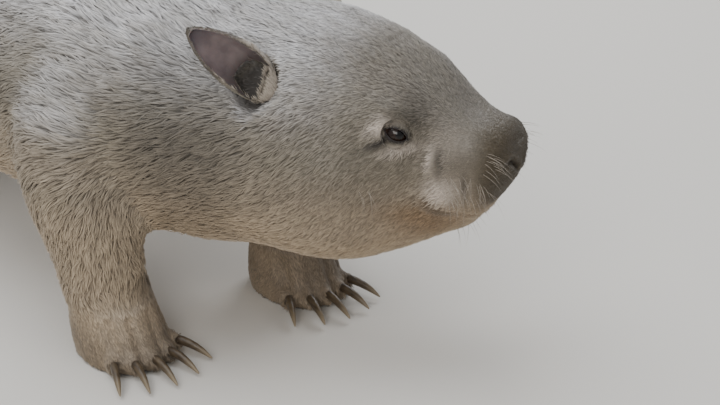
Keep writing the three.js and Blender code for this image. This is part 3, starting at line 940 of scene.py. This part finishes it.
def skinMaterial():
    material, tree, shader = newMaterial("skinUnderCoat", **{
        "Specular IOR Level": 0.35, "Sheen Weight": 0.12, "Sheen Roughness": 0.5})
    marks = useGroup(tree, marksAndPaintedLightGroup, Blotches=0.5)
    streaks = useGroup(tree, streakGroup, Scale=1.0)
    shade = rangeNode(tree, streaks.outputs["Height"], 0.3, 0.7, 0.56, 1.0)
    bare = attributeNode(tree, "bare")
    colour = mixNode(tree, bare, shadedNode(tree, marks.outputs[0], shade), furColours["bare"])
    tree.links.new(colour, shader.inputs["Base Color"])
    tree.links.new(rangeNode(tree, bare, 0, 1, 0.62, 0.36), shader.inputs["Roughness"])
    addBump(tree, shader, streaks.outputs["Height"], 0.6 * mm, 0.8)
    return material


coatMaterial = furMaterial()
bodyMaterial = skinMaterial()


def finishSkin():
    mesh = meshFrom("skin", skin.points, skin.faces)
    setColours(mesh, "marksAndShadeA", marksAndShadeA)
    setColours(mesh, "marksAndSheenB", marksAndSheenB)
    sole = ramp(skin.points[:, 2], 3 * mm, 0.8 * mm)
    bare = np.maximum.reduce([skin.rim, skin.nostril * ramp(guide.ahead, 0.88, 0.89), sole])
    setFloats(mesh, "bare", bare)
    layer = mesh.attributes.new("lie", "FLOAT_VECTOR", "POINT")
    angle = np.arctan2(guide.height - bodyGuide["middle"], guide.aside)
    trunk = np.stack([guide.ahead, angle * bodyGuide["roll"], np.zeros(len(angle))], 1)
    layer.data.foreach_set("vector", trunk.astype(np.float32).ravel())
    addPiece("skin", mesh, bodyMaterial, "fur", *fleshNames)


finishSkin()
print("skin finished:", len(skin.triangles), "triangles")


# Coat: thin V-shaped tufts, laid along the body and drawn together into small points

coatPlan = {
    "tufts": 222000,
    "pieces": 8,
    "liftDeg": 13,
    "jitterDeg": 11,
    "rootSink": 0.7 * mm,
    "clumpOf": 13,
    "pull": 0.55,
    "midAt": 0.46,
    "narrow": 0.85,
    "tone": 0.17,
    "clumpTone": 0.32,
    "swirl": 0.30,
    "seed": 41,
}
coatRegions = {  # length, width and how closely set, in mm and tufts for each square cm
    "body": (19.0, 1.75, 17),
    "neck": (15.0, 1.35, 26),
    "face": (6.6, 0.80, 62),
    "muzzle": (2.6, 0.50, 120),
    "leg": (12.5, 1.30, 27),
    "foot": (5.2, 0.85, 55),
}


def regionValue(column, guide):
    body, neck, face, muzzle, leg, foot = (row[column] for row in coatRegions.values())
    value = body + (neck - body) * ramp(guide.ahead, 0.60, 0.70)
    value = value + (face - value) * ramp(guide.ahead, 0.675, 0.785)
    value = value + (muzzle - value) * guide.muzzleShare
    value = value + (leg - value) * guide.legShare
    return value + (foot - value) * guide.footShare


def growCoat():
    rng = np.random.default_rng(coatPlan["seed"])
    normals = skin.normals()
    density = regionValue(2, guide)
    keep = 1 - np.clip(skin.opening + skin.nostril * (guide.ahead > 0.885) + 0.8 * skin.cup, 0, 1)
    keep *= ramp(skin.points[:, 2], 2.5 * mm, 5 * mm)
    far, _ = farFrom(inHead(skin.points), mouthShape["line"])
    keep *= ramp(far, 0.6 * mm, 1.6 * mm)
    weight = skin.areas() * (density * keep)[skin.triangles].mean(1)
    total = coatPlan["tufts"]
    chosen = np.searchsorted(np.cumsum(weight) / weight.sum(), rng.random(total))
    chosen = np.minimum(chosen, len(weight) - 1)
    share = rng.random((total, 2))
    over = share.sum(1) > 1
    share[over] = 1 - share[over]
    bary = np.stack([1 - share.sum(1), share[:, 0], share[:, 1]], 1)

    def at(values):
        picked = values[skin.triangles[chosen]]
        return np.einsum("nk,nk...->n...", bary, picked)

    root, normal = at(skin.points), unit(at(normals))
    lie = at(guide.lie)
    tangent = lie - normal * dots(lie, normal)[:, None]
    weak = np.linalg.norm(tangent, axis=1) < 0.12
    tangent[weak] += 0.2 * (normal * normal[:, 2:] - upward)[weak]
    tangent = unit(tangent)
    for eye in eyeFrames.values():  # the coat parts round the eyes
        offset = root - eye["centre"]
        near = ramp(np.linalg.norm(offset, axis=1), 24 * mm, 12 * mm)
        outward = offset - normal * dots(offset, normal)[:, None]
        tangent = unit(tangent * (1 - 0.55 * near[:, None]) + unit(outward) * 0.55 * near[:, None])
    swirl = waves(root, 14, 5) * coatPlan["swirl"]
    swirl += rng.normal(0, math.radians(coatPlan["jitterDeg"]), total)
    side = np.cross(normal, tangent)
    tangent = tangent * np.cos(swirl)[:, None] + side * np.sin(swirl)[:, None]
    side = np.cross(normal, tangent)
    length = at(regionValue(0, guide)) * mm * rng.normal(1, 0.16, total).clip(0.55, 1.5)
    length *= 1 + 0.18 * waves(root, 40, 9)
    length *= 1 - 0.62 * at(skin.nearEar)
    for eye in eyeFrames.values():
        _, _, z, off = aroundEye(root, eye)
        length *= np.where((z > 0) & (off < 14 * mm), 0.38 + 0.62 * ramp(off, 1 * mm, 13 * mm), 1)
    width = at(regionValue(1, guide)) * mm * rng.uniform(0.75, 1.25, total)
    lift = np.radians(coatPlan["liftDeg"]) * rng.uniform(0.6, 1.5, total)
    lift *= 1 - 0.35 * at(guide.footShare)
    tree = KDTree(total // coatPlan["clumpOf"])
    heads = rng.choice(total, total // coatPlan["clumpOf"], replace=False)
    for number, index in enumerate(heads):
        tree.insert(root[index], number)
    tree.balance()
    leader = heads[np.array([tree.find(p)[1] for p in root])]
    tip = root + tangent * (length * np.cos(lift * 0.7))[:, None]
    tip += normal * (length * np.sin(lift) * 0.8)[:, None]
    half = length * coatPlan["midAt"]
    mid = root + tangent * half[:, None] + normal * (half * np.tan(lift * 1.35))[:, None]
    gap = np.linalg.norm(tip[leader] - tip, axis=1)
    pull = coatPlan["pull"] * ramp(gap, length * 0.9, length * 0.25) * (1 - 0.55 * at(guide.faceShare))
    tip += (tip[leader] - tip) * pull[:, None]
    mid += (mid[leader] - mid) * (pull * 0.30)[:, None]
    tone = 0.5 + rng.normal(0, coatPlan["tone"], total)
    tone = np.clip(tone + (rng.random(total)[leader] - 0.5) * coatPlan["clumpTone"], 0, 1)
    low = root - normal * coatPlan["rootSink"]
    points = tuftPoints(low, mid, tip, side, normal, width, coatPlan["narrow"])
    points[:, :, 2] = np.maximum(points[:, :, 2], 0.4 * mm)
    marks = at(marksAndShadeA), at(marksAndSheenB)
    spots = skinUnwrap[skin.triangles[chosen, 0]]
    order = np.lexsort((spots[:, 1], np.floor(spots[:, 0] / 0.006)))
    print("coat: grown", total, "tufts")
    layCoat(points, tone, marks, spots, order)


def waves(points, scale, seed):  # a cheap smooth noise, between about -1 and 1
    rng = np.random.default_rng(seed)
    total = np.zeros(len(points))
    for octave in range(4):
        ways = unit(rng.normal(size=(3, 3))) * scale * 1.7 ** octave
        phases = rng.uniform(0, 2 * math.pi, 3)
        total += np.sin(points @ ways.T * 2 + phases).sum(1) / 3 * 0.62 ** octave
    return total / 1.6


patchSize = 0.003  # of each tuft on the coat's map


def tuftPoints(low, mid, tip, side, normal, width, narrow):  # a folded strip that ends in a point
    half = side * (width / 2)[:, None]
    ridge = normal * (width * 0.3)[:, None]
    return np.stack([low - half, low + ridge, low + half,
                     mid - half * narrow, mid + ridge * narrow, mid + half * narrow, tip], 1)


def tuftMesh(name, points, tone, marks, spots):  # seven points and four faces for each tuft
    count = len(points)
    cell = np.array([[-0.5, 0], [0, 0], [0.5, 0], [-0.4, 0.5], [0, 0.5], [0.4, 0.5], [0, 1.0]])
    tipAt = np.array([0, 0, 0, 0.5, 0.5, 0.5, 1.0])
    corners = np.array([0, 1, 4, 3, 1, 2, 5, 4, 3, 4, 6, 4, 5, 6])
    starts = np.array([0, 4, 8, 11])
    sizes = np.array([4, 4, 3, 3])
    mesh = bpy.data.meshes.new(name)
    mesh.vertices.add(count * 7)
    mesh.vertices.foreach_set("co", points.astype(np.float32).ravel())
    loops = (np.arange(count)[:, None] * 7 + corners).ravel()
    mesh.loops.add(len(loops))
    mesh.loops.foreach_set("vertex_index", loops.astype(np.int32))
    mesh.polygons.add(count * 4)
    begin = (np.arange(count)[:, None] * 14 + starts).ravel()
    mesh.polygons.foreach_set("loop_start", begin.astype(np.int32))
    mesh.polygons.foreach_set("loop_total", np.tile(sizes, count).astype(np.int32))
    mesh.polygons.foreach_set("use_smooth", np.ones(count * 4, bool))
    mesh.update(calc_edges=True)
    setFloats(mesh, "tip", np.tile(tipAt, count))
    setFloats(mesh, "tone", np.repeat(tone, 7))
    setColours(mesh, "marksAndShadeA", np.repeat(marks[0], 7, axis=0))
    setColours(mesh, "marksAndSheenB", np.repeat(marks[1], 7, axis=0))
    places = (spots[:, None] + cell * patchSize).reshape(-1, 2)
    layer = mesh.uv_layers.new(name="OFBake")
    layer.data.foreach_set("uv", places[loops].astype(np.float32).ravel())
    return mesh


def layCoat(points, tone, marks, spots, order):
    for number in range(coatPlan["pieces"]):
        part = order[number::coatPlan["pieces"]]
        name = f"coat_{number + 1}"
        mesh = tuftMesh(name, points[part], tone[part], [m[part] for m in marks], spots[part])
        addPiece(name, mesh, coatMaterial, "fur")
    print("coat: laid in", coatPlan["pieces"], "pieces")


growCoat()


# Eyes

eyeLook = {
    "rings": 40,
    "segments": 56,
    "cornea": 0.7 * mm,
    "corneaDeg": 34,
    "gazeAhead": 0.35,
}


def eyeMaterial():
    material, tree, shader = newMaterial("wetEye", **{
        "Roughness": 0.25, "Specular IOR Level": 0.1,
        "Coat Weight": 1.0, "Coat Roughness": 0.02, "Coat IOR": 1.34})
    place = attributeNode(tree, "fromGaze")
    fleck = noiseNode(tree, 900, 3)
    iris = mixNode(tree, rangeNode(tree, fleck, 0.35, 0.7), linear(24, 15, 10), linear(44, 28, 18))
    colour = mixNode(tree, rangeNode(tree, place, 17, 19), (0.002, 0.0015, 0.0012, 1), iris)
    colour = mixNode(tree, rangeNode(tree, place, 36, 43), colour, linear(30, 20, 16))
    colour = mixNode(tree, rangeNode(tree, place, 56, 72), colour, linear(84, 66, 58))
    tree.links.new(colour, shader.inputs["Base Color"])
    return material


def makeEye(side, material):
    eye = eyeFrames[side]
    gaze = unit(eye["out"] + eyeLook["gazeAhead"] * headAhead)
    across = unit(np.cross(gaze, upward))
    above = np.cross(across, gaze)
    points, faces, angles = [], [], []
    rings, segments = eyeLook["rings"], eyeLook["segments"]
    for i in range(rings + 1):
        angle = math.pi * i / rings
        bulge = eyeLook["cornea"] * float(ramp(math.degrees(angle), eyeLook["corneaDeg"], 0))
        radius = eye["radius"] + bulge
        for k in range(segments):
            turn = 2 * math.pi * k / segments
            ray = gaze * math.cos(angle)
            ray = ray + (across * math.cos(turn) + above * math.sin(turn)) * math.sin(angle)
            points.append(eye["centre"] + ray * radius)
            angles.append(math.degrees(angle))
    for i in range(rings):
        for k in range(segments):
            a, b = i * segments + k, i * segments + (k + 1) % segments
            faces.append((a, b, b + segments, a + segments))
    mesh = meshFrom(f"eyeball_{side}", np.array(points), faces)
    setFloats(mesh, "fromGaze", np.array(angles))
    bm = bmesh.new()
    bm.from_mesh(mesh)
    bmesh.ops.remove_doubles(bm, verts=bm.verts, dist=1e-6)
    bm.to_mesh(mesh)
    bm.free()
    addPiece(f"eyeball_{side}", mesh, material, "eye", f"eye_{side}")


wetEye = eyeMaterial()
for side in sides:
    makeEye(side, wetEye)
print("eyes made")


# Ears: the node's cup, thinned, with its root drawn into the head

earShape = {
    "voxel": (1.0 * mm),
    "thin": 0.7 * mm,
    "rootReach": 16 * mm,
    "rootStretch": 1.1,
    "length": 0.068,
    "cupFrom": 0.10,  # shares of the length from the root
    "stumpTo": 0.04,
    "slices": 24,
    "narrow": 0.8,
    "rootSink": 0.5 * mm,
    "hairs": 5200,
}


def earMaterial():
    material, tree, shader = newMaterial("earSkin", **{
        "Specular IOR Level": 0.45, "Sheen Weight": 0.1,
        "Subsurface Weight": 0.12, "Subsurface Scale": 0.004})
    blotch = rangeNode(tree, noiseNode(tree, 90, 4), 0.35, 0.65)
    bare = mixNode(tree, blotch, linear(112, 98, 97), linear(92, 79, 80))
    # painted shade deep inside the ear's cup, darker towards its root
    bare = mixNode(tree, attributeNode(tree, "depth"), bare, linear(64, 54, 52))
    bare = mixNode(tree, attributeNode(tree, "tipShade"), bare, linear(72, 62, 67))
    colour = mixNode(tree, attributeNode(tree, "inner"), linear(108, 99, 93), bare)
    tree.links.new(colour, shader.inputs["Base Color"])
    tree.links.new(rangeNode(tree, blotch, 0, 1, 0.42, 0.58), shader.inputs["Roughness"])
    addBump(tree, shader, noiseNode(tree, 420, 4), 0.25 * mm, 0.6)
    return material


def makeEar(side, skinLook):
    surface = Surface(voxelRemeshed([f"ear_{side}"], earShape["voxel"]))
    surface.smooth(4, 1.0, back=0.5)
    surface.points -= surface.normals() * earShape["thin"]
    tip, low, axis = earLine(surface.points)
    normals = surface.normals()
    share = 1 - (tip - surface.points) @ axis / earShape["length"]
    slices = earShape["slices"]
    slot = np.clip(share * slices, 0, slices).astype(int)
    centre = np.stack([np.bincount(slot, c, slices + 1) for c in surface.points.T], 1)
    centre /= np.maximum(np.bincount(slot, minlength=slices + 1), 1)[:, None]
    inner = ramp(dots(normals, unit(centre[slot] - surface.points)), -0.05, 0.3)
    inner *= ramp(share, earShape["stumpTo"], earShape["cupFrom"])
    along = (surface.points - low) @ axis
    pull = np.clip(earShape["rootReach"] - (along - along.min()), 0, None) * earShape["rootStretch"]
    surface.points -= axis * pull[:, None]
    facing = 0.62 * headAhead + 0.76 * sides[side] * headLeft + 0.1 * upward
    facing = unit(facing - axis * (facing @ axis))
    mesh = meshFrom(f"ear_skin_{side}", surface.points, surface.faces)
    setFloats(mesh, "inner", inner)
    # depth: painted shade deep inside the cup, towards the ear's root
    setFloats(mesh, "depth", ramp(share, 0.42, 0.12))
    setFloats(mesh, "tipShade", ramp(share, 0.66, 0.95))
    addPiece(f"ear_skin_{side}", mesh, skinLook, "ear", f"ear_{side}")
    furEar(side, surface, inner, share, centre, axis, facing)


def furEar(side, surface, inner, share, centre, axis, facing):
    rng = np.random.default_rng(7 + sides[side])
    normals = surface.normals()
    corners = surface.points[surface.triangles]
    edge = surface.spread(surface.spread(inner))
    rim = 4 * edge * (1 - edge) * ramp(share, 0.75, 0.45)
    ahead = ramp(normals @ headAhead, -0.1, 0.6) * ramp(share, 0.6, 0.3)
    keep = (ramp(inner, 0.3, 0.1) * (1 + 2 * ahead) + 0.06 * rim) * ramp(share, -0.12, 0.02)
    weight = surface.areas() * keep[surface.triangles].mean(1)
    total = earShape["hairs"]
    chosen = np.searchsorted(np.cumsum(weight) / weight.sum(), rng.random(total))
    chosen = chosen.clip(0, len(weight) - 1)
    spread = rng.dirichlet((1, 1, 1), total)
    root = (corners[chosen] * spread[:, :, None]).sum(1)
    normal = unit(normals[surface.triangles[chosen]].mean(1))
    lie = axis - normal * (normal @ axis)[:, None]
    tangent = unit(unit(lie) + rng.normal(0, 0.16, (total, 3)))
    tangent = unit(tangent - normal * dots(tangent, normal)[:, None])
    where = share[surface.triangles[chosen]].mean(1)
    front = ramp(normal @ headAhead, -0.1, 0.5) * ramp(where, 0.62, 0.35)
    length = (2.6 + 3.4 * ramp(where, 0.6, 0.1)) * mm * rng.uniform(0.7, 1.3, total)
    width = (0.7 + 0.4 * ramp(where, 0.5, 0.1)) * mm * rng.uniform(0.7, 1.2, total)
    mid = root + tangent * (length * 0.5)[:, None] + normal * (length * 0.11)[:, None]
    tip = root + tangent * length[:, None] + normal * (length * 0.10)[:, None]
    low = root - normal * earShape["rootSink"]
    points = tuftPoints(low, mid, tip, np.cross(normal, tangent), normal, width, earShape["narrow"])
    tone = np.clip(rng.normal(0.45, 0.16, total), 0, 1)
    marks = np.zeros((total, 3)), np.zeros((total, 3))
    marks[0][:, 1] = 0.4 * front
    marks[0][:, 2] = 0.5 * (1 - front) * ramp(where, 0.1, 0.5)
    slices = earShape["slices"]
    out = unit(root - centre[np.clip(where * slices, 0, slices).astype(int)])
    around = np.arctan2(out @ np.cross(axis, facing), out @ facing) / (2 * math.pi) % 1
    spots = np.stack([0.02 + 0.95 * around, 0.1 + 0.8 * np.clip(where, 0, 1)], 1)  # the ear unrolled
    name = f"ear_fur_{side}"
    addPiece(name, tuftMesh(name, points, tone, marks, spots), coatMaterial, "fur")


earSkin = earMaterial()
for side in sides:
    makeEar(side, earSkin)
print("ears made")


# Claws: the nodes' shapes, rounded, in worn dark horn

def clawMaterial():
    material, tree, shader = newMaterial("clawHorn", **{"Specular IOR Level": 0.45, "Coat Weight": 0.12})
    grain = noiseNode(tree, 60, 5, None, (6, 1, 6))
    colour = mixNode(tree, rangeNode(tree, grain, 0.3, 0.7), linear(58, 48, 38), linear(96, 82, 62))
    tip = attributeNode(tree, "tip")
    colour = mixNode(tree, rangeNode(tree, tip, 0.55, 1.0, 0, 0.7), colour, linear(150, 134, 108))
    colour = mixNode(tree, rangeNode(tree, tip, 0.25, 0.0, 0, 0.8), colour, linear(44, 34, 28))
    tree.links.new(colour, shader.inputs["Base Color"])
    tree.links.new(rangeNode(tree, grain, 0.3, 0.7, 0.34, 0.55), shader.inputs["Roughness"])
    addBump(tree, shader, noiseNode(tree, 260, 4, None, (1, 4, 1)), 0.3 * mm, 0.7)
    return material


def makeClaws():
    horn = clawMaterial()
    for name in sorted(n for n in nodes if n.startswith("claw")):
        obj = merged([name])
        weld = obj.modifiers.new("weld", "WELD")
        weld.merge_threshold = 0.05 * mm
        rounded = obj.modifiers.new("rounded", "SUBSURF")
        rounded.levels = rounded.render_levels = 2
        mesh = evaluated(obj)
        points = pointsOf(mesh)
        foot = middleOf(name.replace("claw_fore", "forefoot").replace("claw_hind", "hindfoot")[:-2])
        far = np.linalg.norm((points - foot)[:, :2], axis=1)
        setFloats(mesh, "tip", (far - far.min()) / (far.max() - far.min()))
        mesh.polygons.foreach_set("use_smooth", [True] * len(mesh.polygons))
        addPiece(name.replace("claw", "horn"), mesh, horn, "claw", name)


makeClaws()
print("claws made")


# Whiskers: pale tapered bristles, each a closed tube

whiskerPlan = {"seed": 11, "thick": 0.18 * mm, "sides": 4, "rings": 7}
whiskerBeds = [  # forward, aside, height, spread along each, how many, length, how far they point forward
    ((0.866, 0.046, 0.199), (0.012, 0.004, 0.013), 26, 0.030, 0.30),
    ((0.884, 0.036, 0.196), (0.008, 0.006, 0.010), 10, 0.024, 0.45),
    ((0.889, 0.040, 0.222), (0.006, 0.004, 0.012), 12, 0.029, 1.30),
    ((0.800, 0.080, 0.200), (0.006, 0.004, 0.006), 4, 0.022, 0.30),
    ((0.862, 0.020, 0.158), (0.008, 0.010, 0.004), 8, 0.018, 0.30),
]


def whiskerMaterial():
    material, tree, shader = newMaterial("whisker", **{"Roughness": 0.35, "Specular IOR Level": 0.5})
    colour = mixNode(tree, noiseNode(tree, 40, 2), linear(190, 180, 166), linear(122, 110, 98))
    tree.links.new(colour, shader.inputs["Base Color"])
    return material


def makeWhiskers():
    rng = np.random.default_rng(whiskerPlan["seed"])
    tree = BVHTree.FromPolygons([Vector(p) for p in skin.points], skin.faces)
    points, faces = [], []
    for sign in sides.values():
        for centre, spread, count, length, forward in whiskerBeds:
            for _ in range(count):
                place = np.array(centre) + rng.uniform(-1, 1, 3) * spread
                start = fromHead(place[0], place[1] * sign, place[2])
                spot, normal, _, _ = tree.find_nearest(Vector(start))
                normal = np.array(normal)
                way = unit(0.62 * normal + 0.18 * sign * headLeft + forward * headAhead
                           - 0.16 * upward + rng.normal(0, 0.15, 3))
                addBristle(points, faces, np.array(spot) - normal * 0.8 * mm, way,
                           length * rng.uniform(0.65, 1.1))
    mesh = meshFrom("whiskers", np.array(points), faces)
    addPiece("whiskers", mesh, whiskerMaterial(), "fur")


def addBristle(points, faces, root, way, length):
    rings, around = whiskerPlan["rings"], whiskerPlan["sides"]
    across = unit(np.cross(way, upward + 0.01))
    other = np.cross(across, way)
    start = len(points)
    for i in range(rings):
        t = i / (rings - 1)
        place = root + way * length * t - (0.16 * headAhead + 0.20 * upward) * length * t * t
        thick = whiskerPlan["thick"] * (1 - 0.85 * t)
        for k in range(around):
            turn = 2 * math.pi * k / around
            points.append(place + (across * math.cos(turn) + other * math.sin(turn)) * thick)
    for i in range(rings - 1):
        for k in range(around):
            a, b = start + i * around + k, start + i * around + (k + 1) % around
            faces.append((a, b, b + around, a + around))
    faces.append(tuple(start + k for k in reversed(range(around))))
    faces.append(tuple(start + (rings - 1) * around + k for k in range(around)))


makeWhiskers()
print("whiskers made")


# Floor, light and camera

studio = {
    "floor": linear(214, 210, 203),
    "floorSize": 60.0,
    "world": 0.55,
    "lights": [  # name, place, aim, size, power, colour
        ("topSoft", (-0.5, 0.1, 2.2), (0.05, -0.1, 0.2), 1.9, 42, (0.93, 0.96, 1.0)),
        ("keySoft", (-1.7, -1.5, 1.5), (0.0, -0.2, 0.2), 1.1, 26, (1.0, 0.98, 0.95)),
        ("rimSoft", (1.5, 0.6, 1.3), (0.0, -0.1, 0.25), 0.9, 16, (0.95, 0.97, 1.0)),
    ],
}
photoFrame = (720, 405)
cameraPlan = {
    "azimuthDeg": -39.66,
    "elevationDeg": 23.08,
    "distance": 1.296,
    "focalPixels": 1662.8,
    "eyePixel": (395, 133),
}


def makeFloor():
    half = studio["floorSize"] / 2
    corners = [(-half, -half, 0), (half, -half, 0), (half, half, 0), (-half, half, 0)]
    floor = meshFrom("floor", corners, [(0, 1, 2, 3)])
    obj = bpy.data.objects.new("floor", floor)
    bpy.context.scene.collection.objects.link(obj)
    material, _, shader = newMaterial("paleFloor", **{"Roughness": 0.75, "Specular IOR Level": 0.25})
    shader.inputs["Base Color"].default_value = studio["floor"]
    floor.materials.append(material)


def aimed(obj, place, aim):
    obj.location = place
    obj.rotation_euler = (Vector(aim) - Vector(place)).to_track_quat("-Z", "Y").to_euler()


def makeLights():
    world = bpy.data.worlds.new("studio")
    bpy.context.scene.world = world
    world.use_nodes = True
    world.node_tree.nodes["Background"].inputs[0].default_value = (0.90, 0.92, 0.95, 1)
    world.node_tree.nodes["Background"].inputs[1].default_value = studio["world"]
    for name, place, aim, size, power, colour in studio["lights"]:
        light = bpy.data.lights.new(name, "AREA")
        light.size, light.energy, light.color = size, power, colour
        obj = bpy.data.objects.new(name, light)
        bpy.context.scene.collection.objects.link(obj)
        aimed(obj, place, aim)


def makeCamera():
    wide, high = photoFrame
    camera = bpy.data.cameras.new("camera")
    camera.sensor_width = 36
    camera.lens = cameraPlan["focalPixels"] / wide * camera.sensor_width
    obj = bpy.data.objects.new("camera", camera)
    bpy.context.scene.collection.objects.link(obj)
    bpy.context.scene.camera = obj
    a, e = math.radians(cameraPlan["azimuthDeg"]), math.radians(cameraPlan["elevationDeg"])
    back = np.array([math.sin(a) * math.cos(e), -math.cos(a) * math.cos(e), math.sin(e)])
    eye = eyeFrames["right"]["centre"]
    place = eye + back * cameraPlan["distance"]
    right = np.array([math.cos(a), math.sin(a), 0])
    above = np.cross(back, right)
    offset = (cameraPlan["eyePixel"][0] - wide / 2, high / 2 - cameraPlan["eyePixel"][1])
    reach = cameraPlan["distance"] / cameraPlan["focalPixels"]
    aimed(obj, place, eye - (right * offset[0] + above * offset[1]) * reach)


makeFloor()
makeLights()
makeCamera()
print("floor, light and camera set")
